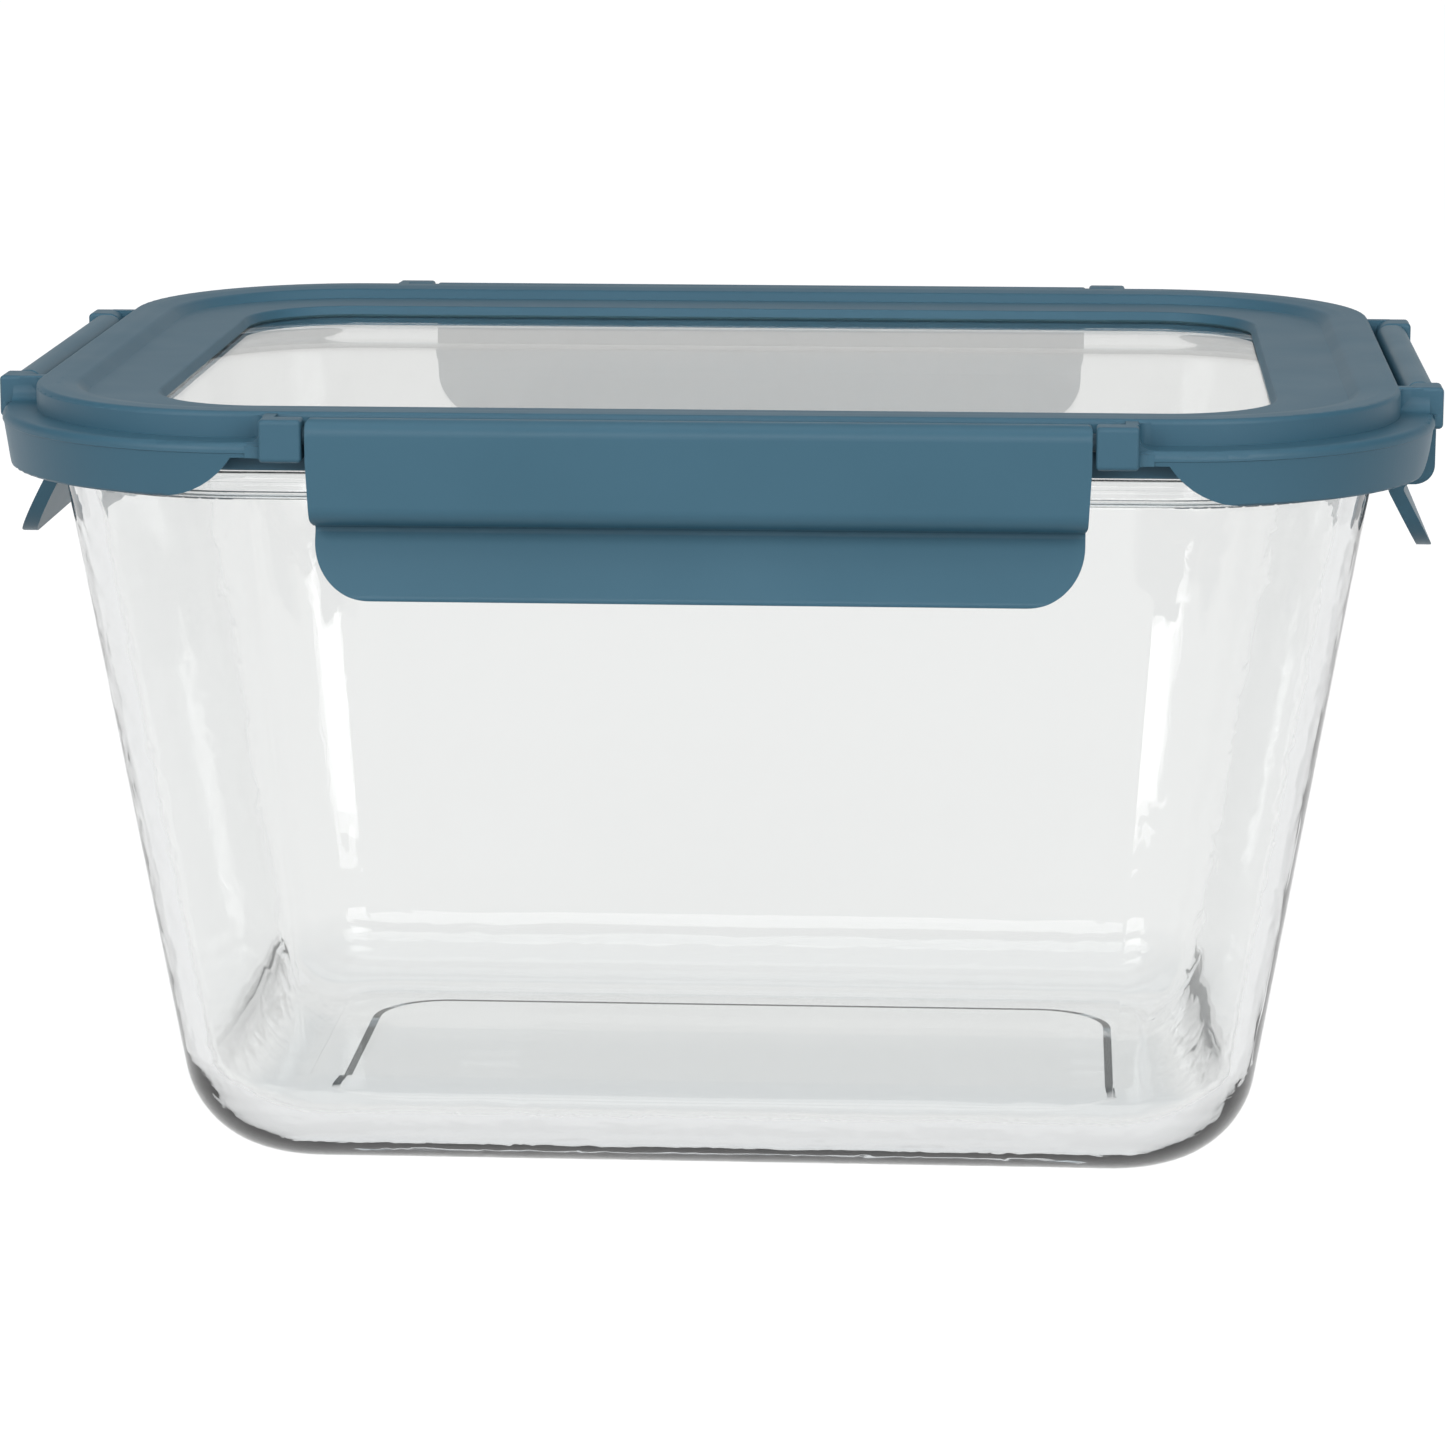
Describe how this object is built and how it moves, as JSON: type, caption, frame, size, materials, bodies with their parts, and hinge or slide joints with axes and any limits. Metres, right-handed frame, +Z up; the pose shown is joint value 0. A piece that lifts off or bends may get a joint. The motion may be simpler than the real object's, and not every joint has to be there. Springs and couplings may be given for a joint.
{
  "type": "glass food storage container with latched lid",
  "caption": "Deep rectangular glass food storage container with a blue framed window lid that seals on the glass rim and is held by hinged side latches.",
  "frame": {"origin": "centre of the base, on the surface the container stands on", "axes": "+X along the long side, towards the right end seen from the front; +Y from the front to the rear; +Z up"},
  "size_m": [0.25, 0.194, 0.1386],
  "materials": {
    "container_glass": "clear pressed glass",
    "pane_glass": "clear float glass",
    "blue_frame": "fine satin moulded polypropylene",
    "blue_latch": "fine satin moulded polypropylene",
    "seal_silicone": "translucent silicone",
    "gasket_silicone": "smooth silicone"
  },
  "bodies": {
    "container": {"glass_container": "container_glass"},
    "lid": {"lid_frame": "blue_frame", "lid_seal": "seal_silicone", "window_gasket": "gasket_silicone", "window_pane": "pane_glass", "pane_retainer": "blue_frame"},
    "latch_front": {"latch_front": "blue_latch"},
    "latch_rear": {"latch_rear": "blue_latch"},
    "latch_left": {"latch_left": "blue_latch"},
    "latch_right": {"latch_right": "blue_latch"}
  },
  "joints": [
    {"name": "lid_lift", "type": "slide", "parent": "container", "child": "lid", "axis": [0, 0, 1], "range_m": [0, 0.12]},
    {"name": "latch_front_hinge", "type": "hinge", "parent": "lid", "child": "latch_front", "pos_m": [0, -0.0934, 0.13525], "axis": [-1, 0, 0], "range_deg": [0, 160]},
    {"name": "latch_rear_hinge", "type": "hinge", "parent": "lid", "child": "latch_rear", "pos_m": [0, 0.0934, 0.13525], "axis": [1, 0, 0], "range_deg": [0, 160]},
    {"name": "latch_left_hinge", "type": "hinge", "parent": "lid", "child": "latch_left", "pos_m": [-0.1214, 0, 0.13525], "axis": [0, 1, 0], "range_deg": [0, 160]},
    {"name": "latch_right_hinge", "type": "hinge", "parent": "lid", "child": "latch_right", "pos_m": [0.1214, 0, 0.13525], "axis": [0, -1, 0], "range_deg": [0, 160]}
  ]
}
